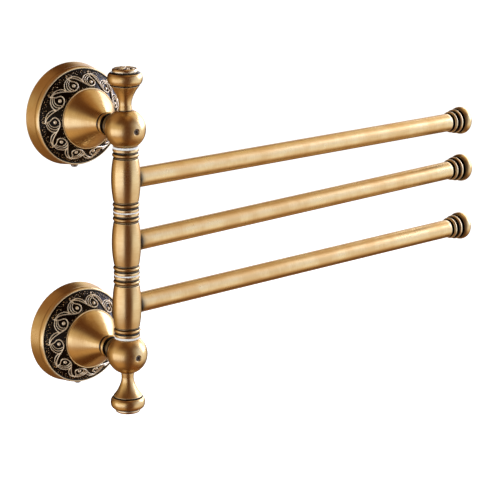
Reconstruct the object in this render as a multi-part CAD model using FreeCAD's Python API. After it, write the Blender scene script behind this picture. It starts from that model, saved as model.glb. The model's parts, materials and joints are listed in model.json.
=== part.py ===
import FreeCAD, Part

import math
import os

# Swing arm towel bar: three arms on one upright pin between two wall posts. Millimetres.
# Origin: the centre of the four wall screws, on the wall. +X along the arms, +Y into the wall, +Z up.

# Wall fixing
plate_thickness = 6.0
plate_slip = 0.1
plate_hole_radius = 6.0
wall_screw_spacing = 36.0
wall_screw_hole_radius = 2.25

# Rosettes: cast cups that hide the wall plates
rosette_radius = 30.2
rosette_side_height = 7.6
rosette_side_taper = 1.25
rosette_side_wall = 2.6
rosette_wall = 2.0
rosette_corner_width = 0.75
rosette_lip_width = 0.45
rosette_lip_height = 11.0
rosette_corner_rise = 0.3
rosette_groove_width = 0.5
rosette_groove_depth = 0.5
rosette_face_height = 19.3

# Grub screw under each rosette
rosette_grub_radius = 2.0
rosette_grub_height = 3.6
rosette_grub_length = 3.6

# Bell posts
bell_lip_radius = 17.8
bell_lip_thickness = 0.9
bell_shoulder_radius = 17.1
bell_height = 19.0
bell_neck_radius = 5.3
bell_recess_radius = 12.0
bell_recess_depth = 6.0
bell_recess_land = 1.0
bell_shoulder_in_share = 0.1
bell_shoulder_up_share = 0.22
bell_neck_out_share = 0.18
bell_neck_up_share = 0.62
post_bead_radius = 6.85
post_bead_thickness = 3.2
post_ring_radius = 6.7
post_ring_thickness = 2.6
post_ring_gap = 1.9

# Screw that draws each ball, bell post and rosette together
post_screw_radius = 2.5
post_screw_head_radius = 4.25
post_screw_head_height = 4.0
post_screw_socket = 4.0
post_screw_socket_depth = 2.0
post_screw_grip = 6.0
lock_washer_radius = 4.6
lock_washer_thickness = 1.2
screw_slip = 0.1

# Balls
pin_standoff = 57.6
ball_radius = 11.65
ball_washer_flat_radius = 6.36
ball_post_flat_radius = 5.4
ball_finial_flat_radius = 4.8

# Grub screw in the front of each ball
ball_grub_radius = 1.5
ball_grub_length = 8.0
ball_grub_sink_radius = 2.0
grub_socket_share = 0.62
grub_socket_depth = 1.2
grub_chamfer_share = 0.2

# Upright pin
pin_radius = 3.0
pin_end_radius = 2.0
pin_end_length = 11.0
pin_slip = 0.05
pin_chamfer = 0.4

# Finials and their embossed caps
finial_foot_radius = 3.9
finial_waist_radius = 3.55
finial_waist_height = 3.2
finial_flare_height = 14.2
finial_lip_radius = 8.3
finial_lip_thickness = 0.5
finial_groove_width = 0.4
finial_groove_radius = 7.8
finial_bulb_foot_radius = 8.7
finial_bulb_radius = 10.0
finial_bulb_height = 6.8
finial_bulb_top_radius = 7.9
finial_stem_low_share = 0.336
finial_stem_high_share = 0.745
finial_stem_pull_share = 0.71
finial_bulb_low_share = 0.15
finial_bulb_widest_share = 0.48
finial_bulb_high_share = 0.9
cap_radius = 7.3
cap_groove_radius = 6.7
cap_groove_width = 0.4
cap_side_height = 1.5
cap_side_rise = 0.2
cap_shoulder_radius = 6.9
cap_dome_height = 1.1
cap_dome_pull_share = 0.72
cap_peg_radius = 2.0
cap_peg_length = 4.0

# Nylon washers
thin_washer_radius = 7.2
thin_washer_thickness = 0.8
end_washer_radius = 7.3
end_washer_thickness = 1.2
washer_slip = 0.1

# Sleeves that turn on the pin
sleeve_height = 36.2
sleeve_ring_radius = 7.45
sleeve_ring_thickness = 1.6
sleeve_ring_chamfer = 0.4
sleeve_groove_width = 1.0
sleeve_groove_radius = 6.9
sleeve_bead_radius = 7.7
sleeve_bead_thickness = 2.1
sleeve_body_end_radius = 7.25
sleeve_belly_radius = 8.4

# Arms
arm_radius = 5.75
arm_wall = 1.0
arm_reach = 270.4
arm_socket_depth = 1.8
socket_slip = 0.05
spigot_length = 12.0
spigot_thread_radius = 2.5
spigot_thread_length = 2.8
plug_slip = 0.05
arm_levels = {"top": 1, "middle": 0, "bottom": -1}
arm_swing_angle = {"top": 6.4, "middle": 6.1, "bottom": 6.0}
arm_rise_angle = {"top": -0.68, "middle": 0.53, "bottom": 0.15}

# End caps of the arms
end_plug_length = 10.0
end_neck_radius = 5.0
end_neck_length = 1.8
end_ring_1_radius = 6.8
end_ring_1_thickness = 2.4
end_groove_radius = 5.4
end_groove_width = 1.5
end_ring_2_radius = 7.7
end_ring_2_thickness = 2.4
end_flange_radius = 8.8
end_flange_thickness = 6.2
end_flange_edge = 1.2
end_knob_radius = 6.4
end_knob_length = 3.4
end_knob_side_share = 0.8
end_knob_top_share = 0.6

# How far a cutting bar runs on past the surface that it opens
cut_overrun = 1.0

# Places that follow from the sizes
rosette_side_top_radius = rosette_radius - rosette_side_taper
rosette_lip_radius = rosette_side_top_radius - rosette_corner_width
rosette_lip_inner_radius = rosette_lip_radius - rosette_lip_width
sleeve_pitch = sleeve_height + thin_washer_thickness
column_half_height = sleeve_pitch + sleeve_height / 2
ball_washer_flat = math.sqrt(ball_radius**2 - ball_washer_flat_radius**2)
ball_post_flat = math.sqrt(ball_radius**2 - ball_post_flat_radius**2)
ball_finial_flat = math.sqrt(ball_radius**2 - ball_finial_flat_radius**2)
ball_height = column_half_height + end_washer_thickness + ball_washer_flat
post_end = pin_standoff - ball_post_flat
finial_foot = ball_height + ball_finial_flat
plate_radius = rosette_radius - rosette_side_wall - plate_slip
arm_seat = sleeve_belly_radius - arm_socket_depth
arm_bore_radius = arm_radius - arm_wall
screw_hole_radius = post_screw_radius + screw_slip


def vector(x, y, z):
    """Return a vector."""
    return FreeCAD.Vector(x, y, z)


class Outline:
    """Half of a turned section, drawn as radius and height, that turns about the height axis."""

    def __init__(self, radius, height):
        self.start = vector(radius, 0, height)
        self.end = self.start
        self.edges = []

    def line(self, radius, height):
        """Run straight to a point."""
        end = vector(radius, 0, height)
        if end.distanceToPoint(self.end) > 1e-6:
            self.edges.append(Part.makeLine(self.end, end))
            self.end = end
        return self

    def bow(self, radius, height, rise):
        """Run to a point along an arc that stands off its chord by rise, to the right of the way it runs."""
        end = vector(radius, 0, height)
        chord = end - self.end
        side = vector(chord.z, 0, -chord.x).normalize()
        middle = (self.end + end) * 0.5 + side * rise
        self.edges.append(Part.Arc(self.end, middle, end).toShape())
        self.end = end
        return self

    def sweep(self, handles, radius, height):
        """Run to a point along a smooth curve pulled towards two handles."""
        curve = Part.BezierCurve()
        end = vector(radius, 0, height)
        pulls = [vector(x, 0, z) for x, z in handles]
        curve.setPoles([self.end] + pulls + [end])
        self.edges.append(curve.toShape())
        self.end = end
        return self

    def solid(self):
        """Close the outline and turn it into a solid about the height axis."""
        self.line(self.start.x, self.start.z)
        face = Part.Face(Part.Wire(self.edges))
        return face.revolve(vector(0, 0, 0), vector(0, 0, 1), 360)


def bar(radius, low, high):
    """Return a round bar on the height axis between two heights."""
    return Part.makeCylinder(radius, high - low, vector(0, 0, low))


def washer(radius, hole_radius, low, thickness):
    """Return a flat ring on the height axis."""
    return bar(radius, low, low + thickness).cut(bar(hole_radius, low, low + thickness))


def hex_pocket(across_flats, low, high):
    """Return the hexagonal prism that a hexagon key fills."""
    corner = across_flats / 2 / math.cos(math.pi / 6)
    turns = [math.radians(60 * step) for step in range(7)]
    points = [vector(corner * math.cos(turn), corner * math.sin(turn), low) for turn in turns]
    return Part.Face(Part.makePolygon(points)).extrude(vector(0, 0, high - low))


def grub_screw(radius, length):
    """Return a grub screw that runs up from height 0, with its key socket at the top."""
    chamfer = grub_chamfer_share * radius
    body = Outline(0, 0).line(radius - chamfer, 0).line(radius, chamfer)
    body = body.line(radius, length - chamfer).line(radius - chamfer, length).line(0, length).solid()
    socket = hex_pocket(2 * radius * grub_socket_share, length - grub_socket_depth, length)
    return body.cut(socket)


def aimed(shape, origin, direction):
    """Return the shape with its height axis turned to a direction and its zero at an origin."""
    turn = FreeCAD.Rotation(vector(0, 0, 1), direction)
    moved = shape.copy()
    moved.Placement = FreeCAD.Placement(origin, turn)
    return moved


def off_wall(shape, height):
    """Return a shape whose height axis stands out of the wall at a height above the origin."""
    return aimed(shape, vector(0, 0, height), vector(0, -1, 0))


def on_pin(shape, height):
    """Return a shape whose height axis is the upright pin's, moved up to a height."""
    return aimed(shape, vector(0, -pin_standoff, height), vector(0, 0, 1))


def flipped(shape):
    """Return the mirror image of a shape in the level plane through the origin."""
    return shape.mirror(vector(0, 0, 0), vector(0, 0, 1))


def arm_direction(name):
    """Return the direction in which an arm points."""
    turn = math.radians(arm_swing_angle[name])
    rise = math.radians(arm_rise_angle[name])
    return vector(math.cos(turn) * math.cos(rise), math.sin(turn) * math.cos(rise), math.sin(rise))


def wall_plate():
    """Disc screwed to the wall, which the rosette slips over."""
    plate = bar(plate_radius, 0, plate_thickness).cut(bar(plate_hole_radius, 0, plate_thickness))
    hole = bar(wall_screw_hole_radius, 0, plate_thickness)
    for side in (-1, 1):
        hole_place = hole.copy()
        hole_place.translate(vector(side * wall_screw_spacing / 2, 0, 0))
        plate = plate.cut(hole_place)
    return plate


def rosette():
    """Hollow cup with a tapered side, a rounded shoulder, a narrow lip and a sloping face for its carving."""
    slope = (rosette_face_height - rosette_lip_height) / (rosette_lip_inner_radius - bell_lip_radius)
    groove_end = rosette_lip_inner_radius - rosette_groove_width
    inner_radius = rosette_radius - rosette_side_wall
    drop = rosette_wall * math.hypot(1, slope)
    inner_face = rosette_face_height - rosette_wall
    inner_corner = bell_lip_radius - (drop - rosette_wall) / slope
    inner_edge = rosette_face_height - drop - slope * (inner_radius - bell_lip_radius)
    cup = Outline(inner_radius, 0).line(rosette_radius, 0).line(rosette_side_top_radius, rosette_side_height)
    cup = cup.bow(rosette_lip_radius, rosette_lip_height, rosette_corner_rise)
    cup = cup.line(rosette_lip_inner_radius, rosette_lip_height)
    cup = cup.line(rosette_lip_inner_radius, rosette_lip_height - rosette_groove_depth)
    cup = cup.line(groove_end, rosette_lip_height - rosette_groove_depth)
    cup = cup.line(groove_end, rosette_lip_height + slope * rosette_groove_width)
    cup = cup.line(bell_lip_radius, rosette_face_height)
    cup = cup.line(screw_hole_radius, rosette_face_height).line(screw_hole_radius, inner_face)
    cup = cup.line(inner_corner, inner_face).line(inner_radius, inner_edge)
    hole = bar(rosette_grub_radius + screw_slip, 0, rosette_radius + cut_overrun)
    hole = aimed(hole, vector(0, 0, rosette_grub_height), vector(0, -1, 0))
    return cup.solid().cut(hole)


def bell_post():
    """Bell with a bead and a ring at its neck, hollowed behind and bored for its screw."""
    base = rosette_face_height
    neck = base + bell_height
    bead_end = neck + post_bead_thickness
    ring_start = bead_end + post_ring_gap
    ring_end = ring_start + post_ring_thickness
    post = Outline(screw_hole_radius, base + bell_recess_depth)
    post = post.line(screw_hole_radius + bell_recess_land, base + bell_recess_depth)
    post = post.line(bell_recess_radius, base)
    post = post.line(bell_lip_radius, base).line(bell_lip_radius, base + bell_lip_thickness)
    post = post.line(bell_shoulder_radius, base + bell_lip_thickness)
    rise = bell_height - bell_lip_thickness
    fall = bell_shoulder_radius - bell_neck_radius
    first_radius = bell_shoulder_radius - bell_shoulder_in_share * fall
    first_height = base + bell_lip_thickness + bell_shoulder_up_share * rise
    second_radius = bell_neck_radius + bell_neck_out_share * fall
    second_height = base + bell_lip_thickness + bell_neck_up_share * rise
    handles = [(first_radius, first_height), (second_radius, second_height)]
    post = post.sweep(handles, bell_neck_radius, neck)
    post = post.bow(bell_neck_radius, bead_end, post_bead_radius - bell_neck_radius)
    post = post.line(bell_neck_radius, ring_start)
    post = post.bow(bell_neck_radius, ring_end, post_ring_radius - bell_neck_radius)
    post = post.line(bell_neck_radius, post_end).line(screw_hole_radius, post_end)
    return post.solid()


def post_screw():
    """Socket-head screw from inside the rosette, through the post and into the ball."""
    seat = rosette_face_height - rosette_wall - lock_washer_thickness
    head_end = seat - post_screw_head_height
    tip = post_end + post_screw_grip
    screw = bar(post_screw_head_radius, head_end, seat).fuse(bar(post_screw_radius, seat, tip))
    pocket = hex_pocket(post_screw_socket, head_end, head_end + post_screw_socket_depth)
    return screw.removeSplitter().cut(pocket)


def lock_washer():
    """Spring washer under the head of the post screw."""
    low = rosette_face_height - rosette_wall - lock_washer_thickness
    return washer(lock_washer_radius, screw_hole_radius, low, lock_washer_thickness)


def ball():
    """Ball with flats for its washer, post and finial, bored for the pin and both screws."""
    side = 2 * (ball_radius + cut_overrun)
    body = Part.makeSphere(ball_radius)
    body = body.cut(Part.makeBox(side, side, side, vector(-side / 2, -side / 2, ball_finial_flat)))
    body = body.cut(Part.makeBox(side, side, side, vector(-side / 2, -side / 2, -ball_washer_flat - side)))
    body = body.cut(Part.makeBox(side, side, side, vector(-side / 2, ball_post_flat, -side / 2)))
    body = body.cut(bar(pin_radius + pin_slip, -ball_radius, ball_radius))
    back = bar(screw_hole_radius, ball_post_flat - post_screw_grip - screw_slip, ball_radius)
    body = body.cut(aimed(back, vector(0, 0, 0), vector(0, 1, 0)))
    front = bar(ball_grub_radius + screw_slip, 0, ball_radius + cut_overrun)
    sink = Part.makeCone(0, 2 * ball_grub_sink_radius, 2 * ball_grub_sink_radius)
    rim_height = math.sqrt(ball_radius**2 - ball_grub_sink_radius**2)
    sink.translate(vector(0, 0, rim_height - ball_grub_sink_radius))
    return body.cut(aimed(front.fuse(sink), vector(0, 0, 0), vector(0, -1, 0)))


def pin():
    """Upright pin that carries the sleeves, turned down at both ends for the finials."""
    shoulder = finial_foot
    tip = shoulder + pin_end_length
    rod = Outline(0, -tip).line(pin_end_radius - pin_chamfer, -tip).line(pin_end_radius, pin_chamfer - tip)
    rod = rod.line(pin_end_radius, -shoulder).line(pin_radius, -shoulder).line(pin_radius, shoulder)
    rod = rod.line(pin_end_radius, shoulder).line(pin_end_radius, tip - pin_chamfer)
    return rod.line(pin_end_radius - pin_chamfer, tip).line(0, tip).solid()


def finial_seat_height():
    """Return the height of the cap's seat above the finial's foot."""
    return finial_flare_height + finial_lip_thickness + finial_groove_width + finial_bulb_height


def finial():
    """Flared stem under a round bulb, bored from below for the pin and from above for its cap."""
    lip = finial_flare_height
    groove = lip + finial_lip_thickness
    bulb = groove + finial_groove_width
    seat = finial_seat_height()
    bore = pin_end_radius + pin_slip
    peg_hole = cap_peg_radius + plug_slip
    low_height = finial_waist_height + finial_stem_low_share * (lip - finial_waist_height)
    high_height = finial_waist_height + finial_stem_high_share * (lip - finial_waist_height)
    stem = Outline(bore, 0).line(finial_foot_radius, 0)
    stem = stem.line(finial_waist_radius, finial_waist_height)
    handles = [(finial_waist_radius, low_height), (finial_stem_pull_share * finial_lip_radius, high_height)]
    stem = stem.sweep(handles, finial_lip_radius, lip)
    stem = stem.line(finial_lip_radius, groove).line(finial_groove_radius, groove)
    stem = stem.line(finial_groove_radius, bulb).line(finial_bulb_foot_radius, bulb)
    middle = bulb + finial_bulb_widest_share * finial_bulb_height
    low_pull = (finial_bulb_radius, bulb + finial_bulb_low_share * finial_bulb_height)
    high_pull = (finial_bulb_radius, bulb + finial_bulb_high_share * finial_bulb_height)
    stem = stem.sweep([low_pull], finial_bulb_radius, middle)
    stem = stem.sweep([high_pull], finial_bulb_top_radius, seat)
    stem = stem.line(peg_hole, seat).line(peg_hole, seat - cap_peg_length - plug_slip)
    stem = stem.line(0, seat - cap_peg_length - plug_slip).line(0, pin_end_length + pin_slip)
    return stem.line(bore, pin_end_length + pin_slip).solid()


def finial_cap():
    """Round domed cap with a peg, pressed into the top of a finial."""
    shoulder = cap_groove_width + cap_side_height
    crown = shoulder + cap_dome_height
    cap = Outline(0, -cap_peg_length).line(cap_peg_radius, -cap_peg_length).line(cap_peg_radius, 0)
    cap = cap.line(cap_groove_radius, 0).line(cap_groove_radius, cap_groove_width)
    cap = cap.line(cap_radius, cap_groove_width).bow(cap_shoulder_radius, shoulder, cap_side_rise)
    return cap.sweep([(cap_dome_pull_share * cap_shoulder_radius, crown)], 0, crown).solid()


def sleeve_outline():
    """Return the turned half-section of a sleeve about its own middle."""
    half = sleeve_height / 2
    body = half - sleeve_ring_thickness - 2 * sleeve_groove_width - sleeve_bead_thickness
    bore = pin_radius + pin_slip
    bead_low = body + sleeve_groove_width
    bead_high = bead_low + sleeve_bead_thickness
    turned = Outline(bore, -half).line(sleeve_ring_radius - sleeve_ring_chamfer, -half)
    turned = turned.line(sleeve_ring_radius, sleeve_ring_chamfer - half)
    turned = turned.line(sleeve_ring_radius, sleeve_ring_thickness - half)
    turned = turned.line(sleeve_groove_radius, sleeve_ring_thickness - half)
    turned = turned.line(sleeve_groove_radius, -bead_high)
    turned = turned.bow(sleeve_groove_radius, -bead_low, sleeve_bead_radius - sleeve_groove_radius)
    turned = turned.line(sleeve_groove_radius, -body).line(sleeve_body_end_radius, -body)
    turned = turned.bow(sleeve_body_end_radius, body, sleeve_belly_radius - sleeve_body_end_radius)
    turned = turned.line(sleeve_groove_radius, body).line(sleeve_groove_radius, bead_low)
    turned = turned.bow(sleeve_groove_radius, bead_high, sleeve_bead_radius - sleeve_groove_radius)
    turned = turned.line(sleeve_groove_radius, half - sleeve_ring_thickness)
    turned = turned.line(sleeve_ring_radius, half - sleeve_ring_thickness)
    turned = turned.line(sleeve_ring_radius, half - sleeve_ring_chamfer)
    turned = turned.line(sleeve_ring_radius - sleeve_ring_chamfer, half)
    return turned.line(bore, half)


def sleeve(name):
    """Turned sleeve with a round socket and a threaded hole for its arm."""
    socket = bar(arm_radius + socket_slip, arm_seat, sleeve_belly_radius + cut_overrun)
    thread_end = arm_seat - spigot_thread_length - plug_slip
    thread = bar(spigot_thread_radius + plug_slip, thread_end, arm_seat + cut_overrun)
    hole = aimed(socket.fuse(thread), vector(0, 0, 0), arm_direction(name))
    return sleeve_outline().solid().cut(hole)


def arm_tube():
    """Plain tube from the sleeve's socket to the end cap."""
    return bar(arm_radius, arm_seat, arm_reach).cut(bar(arm_bore_radius, arm_seat, arm_reach))


def arm_spigot():
    """Plug soldered in the arm's inner end, with a thread that screws into the sleeve."""
    plug = bar(arm_bore_radius - plug_slip, arm_seat, arm_seat + spigot_length)
    thread = bar(spigot_thread_radius, arm_seat - spigot_thread_length, arm_seat)
    return plug.fuse(thread).removeSplitter()


def arm_end_cap():
    """Turned cap: plug, neck, two rings that widen outwards, a round flange and a low knob."""
    neck = arm_reach + end_neck_length
    ring_1 = neck + end_ring_1_thickness
    groove_1 = ring_1 + end_groove_width
    ring_2 = groove_1 + end_ring_2_thickness
    groove_2 = ring_2 + end_groove_width
    flange = groove_2 + end_flange_thickness
    tip = flange + end_knob_length
    plug = arm_bore_radius - plug_slip
    cap = Outline(0, arm_reach - end_plug_length).line(plug, arm_reach - end_plug_length)
    cap = cap.line(plug, arm_reach).line(end_neck_radius, arm_reach).line(end_neck_radius, neck)
    cap = cap.line(end_groove_radius, neck)
    cap = cap.bow(end_groove_radius, ring_1, end_ring_1_radius - end_groove_radius)
    cap = cap.line(end_groove_radius, groove_1)
    cap = cap.bow(end_groove_radius, ring_2, end_ring_2_radius - end_groove_radius)
    cap = cap.line(end_groove_radius, groove_2)
    cap = cap.line(end_flange_radius - end_flange_edge, groove_2)
    cap = cap.bow(end_flange_radius - end_flange_edge, flange, end_flange_edge)
    cap = cap.line(end_knob_radius, flange)
    side_pull = (end_knob_radius, flange + end_knob_side_share * end_knob_length)
    top_pull = (end_knob_top_share * end_knob_radius, tip)
    return cap.sweep([side_pull, top_pull], 0, tip).solid()


def save(shape, node):
    """Write a piece to its file, after a check that it is sound."""
    solids = shape.Solids
    if not solids or not shape.isValid():
        raise ValueError(node + " isn't a sound solid")
    piece = solids[0] if len(solids) == 1 else Part.makeCompound(solids)
    piece.exportStep("parts/" + node + ".step")


def save_wall_side(side, shape_for_side, height):
    """Write the pieces of one wall post, its ball and its finial."""
    turned = {
        "wall_plate": off_wall(wall_plate(), height),
        "rosette": off_wall(rosette(), height),
        "bell_post": off_wall(bell_post(), height),
        "post_screw": off_wall(post_screw(), height),
        "lock_washer": off_wall(lock_washer(), height),
    }
    for piece, shape in turned.items():
        save(shape, side + "_" + piece)
    stacked = {
        "ball": on_pin(ball(), ball_height),
        "finial": on_pin(finial(), finial_foot),
        "finial_cap": on_pin(finial_cap(), finial_foot + finial_seat_height()),
        "end_washer": on_pin(
            washer(end_washer_radius, pin_radius + washer_slip, 0, end_washer_thickness), column_half_height
        ),
    }
    for piece, shape in stacked.items():
        save(shape_for_side(shape), side + "_" + piece)
    grub = grub_screw(rosette_grub_radius, rosette_grub_length)
    under = vector(0, -rosette_grub_height, height - plate_radius)
    save(aimed(grub, under, vector(0, 0, -1)), side + "_rosette_grub_screw")
    grub = grub_screw(ball_grub_radius, ball_grub_length)
    front = vector(0, -pin_standoff - pin_radius, height)
    save(aimed(grub, front, vector(0, -1, 0)), side + "_ball_grub_screw")


def save_arm(name, height):
    """Write the sleeve of one arm and the pieces that turn with it."""
    origin = vector(0, -pin_standoff, height)
    direction = arm_direction(name)
    save(on_pin(sleeve(name), height), name + "_sleeve")
    save(aimed(arm_tube(), origin, direction), name + "_arm_tube")
    save(aimed(arm_spigot(), origin, direction), name + "_arm_spigot")
    save(aimed(arm_end_cap(), origin, direction), name + "_arm_end_cap")


def main():
    """Write every piece of the towel bar."""
    os.makedirs("parts", exist_ok=True)
    save_wall_side("upper", lambda shape: shape, ball_height)
    save_wall_side("lower", flipped, -ball_height)
    save(on_pin(pin(), 0), "pin")
    low = -thin_washer_thickness / 2
    thin = washer(thin_washer_radius, pin_radius + washer_slip, low, thin_washer_thickness)
    save(on_pin(thin, sleeve_pitch / 2), "upper_thin_washer")
    save(on_pin(thin, -sleeve_pitch / 2), "lower_thin_washer")
    for name, level in arm_levels.items():
        save_arm(name, level * sleeve_pitch)


main()
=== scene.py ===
"""Looks of the swing arm towel bar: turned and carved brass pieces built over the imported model.

Shapes are worked out in millimetres about each piece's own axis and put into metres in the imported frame:
+X along the arms, +Y into the wall, +Z up. The floor, room and lamps are a plain photo studio.
"""

import json
import logging
import math
from dataclasses import dataclass, field
from enum import Enum
from functools import partial

import bpy
import numpy as np
from mathutils import Matrix, Vector

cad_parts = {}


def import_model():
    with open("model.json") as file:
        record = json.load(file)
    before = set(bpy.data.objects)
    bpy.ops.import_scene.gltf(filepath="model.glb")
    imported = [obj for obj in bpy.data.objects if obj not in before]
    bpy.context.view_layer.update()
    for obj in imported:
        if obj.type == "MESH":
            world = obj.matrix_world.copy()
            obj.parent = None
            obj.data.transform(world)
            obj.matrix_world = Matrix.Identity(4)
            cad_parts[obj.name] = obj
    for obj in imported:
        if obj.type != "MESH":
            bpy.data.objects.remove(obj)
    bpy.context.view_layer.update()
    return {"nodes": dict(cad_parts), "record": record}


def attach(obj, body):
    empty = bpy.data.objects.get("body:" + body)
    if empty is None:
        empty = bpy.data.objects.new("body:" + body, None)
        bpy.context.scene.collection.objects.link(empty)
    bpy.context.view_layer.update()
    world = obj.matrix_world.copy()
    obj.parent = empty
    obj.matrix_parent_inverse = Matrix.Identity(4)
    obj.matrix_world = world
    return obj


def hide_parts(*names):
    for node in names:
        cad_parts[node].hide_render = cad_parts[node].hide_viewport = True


LOG = logging.getLogger("towel_bar")
MM = 0.001
TINY = 1e-9
USUAL_EDGE = 0.12
FULL_TURN = 2 * math.pi
PIN_STANDOFF = 57.6
BALL_HEIGHT = 66.0608
SLEEVE_PITCH = 37.0
WALL_FRAME = "wall_frame"

Point = tuple[float, float]
Triple = tuple[float, float, float]
Array = np.ndarray
Material = bpy.types.Material
Tree = bpy.types.NodeTree


class Prefixed(Enum):
    """A choice whose name, in small letters, starts the names of its nodes."""

    @property
    def prefix(self) -> str:
        """Return the word that starts the names of this choice's nodes."""
        return self.name.lower()

    def dressed(self, piece: str) -> str:
        """Return the name of a new piece of this choice."""
        return f"dressed_{self.prefix}_{piece}"


class Side(Prefixed):
    """The two wall posts, by the sign of their height."""

    UPPER = 1
    LOWER = -1


class Arm(Prefixed):
    """The three arms: level in sleeve pitches, turn towards the wall and rise, in degrees."""

    TOP = (1, 6.4, -0.68)
    MIDDLE = (0, 6.1, 0.53)
    BOTTOM = (-1, 6.0, 0.15)

    @property
    def direction(self) -> Array:
        """Return the unit vector from the pin's axis to the arm's end: (cos t cos r, sin t cos r, sin r)."""
        turn, rise = math.radians(self.value[1]), math.radians(self.value[2])
        level = math.cos(rise)
        return np.array([math.cos(turn) * level, math.sin(turn) * level, math.sin(rise)])


class Slot(Enum):
    """The record's material slots."""

    BRASS = "antique_brass"
    PLATE = "plate_steel"
    SCREW = "screw_steel"
    NYLON = "white_nylon"


def stacked(*parts: Array | float) -> Array:
    """Return the parts, spread over one another's shapes, along a new last axis."""
    return np.stack(np.broadcast_arrays(*parts), axis=-1)


def spaced_angles(count: int) -> Array:
    """Return angles spaced evenly round a full turn, in radians."""
    return np.arange(count) * (FULL_TURN / count)


def around(radius: Array | float, angle: Array, height: Array | float) -> Array:
    """Return points about an axis: (radius cos angle, radius sin angle, height)."""
    return stacked(radius * np.cos(angle), radius * np.sin(angle), height)


def bearing(azimuth: Array | float, elevation: Array | float) -> Array:
    """Return unit vectors (sin a cos e, -cos a cos e, sin e): a is 0 off the wall, 90 along the arms."""
    turn, rise = np.radians(azimuth), np.radians(elevation)
    return stacked(np.sin(turn) * np.cos(rise), -np.cos(turn) * np.cos(rise), np.sin(rise))


def smooth_step(values: Array, low: float, high: float) -> Array:
    """Ease from 0 at low to 1 at high: t squared times (3 minus 2 t), with t the clipped share of the way."""
    share = np.clip((values - low) / (high - low), 0.0, 1.0)
    return share * share * (3.0 - 2.0 * share)


def hill(values: Array, centre: float, width: float) -> Array:
    """Return exp(-((value - centre) / width) squared): 1 at the centre, fading to both sides."""
    return np.exp(-(((values - centre) / width) ** 2))


def dome(share: Array) -> Array:
    """Return the height of a round over its half width: the root of 1 minus the share squared, 0 past 1."""
    return np.sqrt(np.maximum(0, 1 - share**2))


def bezier(poles: Array, steps: int) -> Array:
    """Sample a Bezier curve: the sum over its poles of binomial times (1-t) and t powers times the pole.

    Args:
        poles: Two to four poles, one row each.
        steps: How many points to give after the first pole.

    Returns:
        The points, without the first pole.
    """
    share = np.linspace(0.0, 1.0, steps + 1)[1:, None]
    last = len(poles) - 1
    terms = [math.comb(last, k) * (1 - share) ** (last - k) * share**k * poles[k] for k in range(last + 1)]
    return np.sum(terms, axis=0)


def flowing(points: list[Point], steps: int = 8) -> Array:
    """Run a smooth line through points: a Catmull-Rom cubic on each gap, from its ends and the next points.

    Args:
        points: Points that the line passes through.
        steps: Samples in each gap.

    Returns:
        Points along the line.
    """
    known = np.array(points, float)
    padded = np.vstack([2 * known[0] - known[1], known, 2 * known[-1] - known[-2]])
    before, start, end, after = (padded[k : len(padded) - 3 + k, None, :] for k in range(4))
    share = (np.arange(steps) / steps)[None, :, None]
    line = 0.5 * (
        2 * start
        + (end - before) * share
        + (2 * before - 5 * start + 4 * end - after) * share**2
        + (3 * start - before - 3 * end + after) * share**3
    )
    return np.vstack([line.reshape(-1, 2), known[-1]])


@dataclass(frozen=True)
class Axis:
    """Where a piece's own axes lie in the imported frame, in millimetres."""

    origin: Triple
    across: Triple
    along: Triple

    def place(self, points: Array) -> Array:
        """Return points of the piece's own axes as metres: origin + x across + y side + z along.

        Args:
            points: Rows of x, y and z in millimetres, z along the piece's axis.

        Returns:
            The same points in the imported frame, in metres.
        """
        across, along = np.array(self.across, float), np.array(self.along, float)
        turn = np.stack([across, np.cross(along, across), along])
        return (points @ turn + np.array(self.origin)) * MM

    @staticmethod
    def off_wall(height: float, reach: float = 0.0) -> "Axis":
        """Return the axis that stands out of the wall at a height, from a reach off the wall."""
        return Axis((0, -reach, height), (1, 0, 0), (0, -1, 0))

    @staticmethod
    def on_pin(height: float, up: int = 1) -> "Axis":
        """Return the upright pin's axis from a height, up or down."""
        return Axis((0, -PIN_STANDOFF, height), (1, 0, 0), (0, 0, up))

    @staticmethod
    def of_arm(arm: Arm, height: float) -> "Axis":
        """Return the axis that runs along an arm, its across level, from a height on the pin's axis."""
        across = np.cross((0, 0, 1), arm.direction)
        across /= np.linalg.norm(across)
        return Axis((0, -PIN_STANDOFF, height), tuple(across), tuple(arm.direction))


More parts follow.
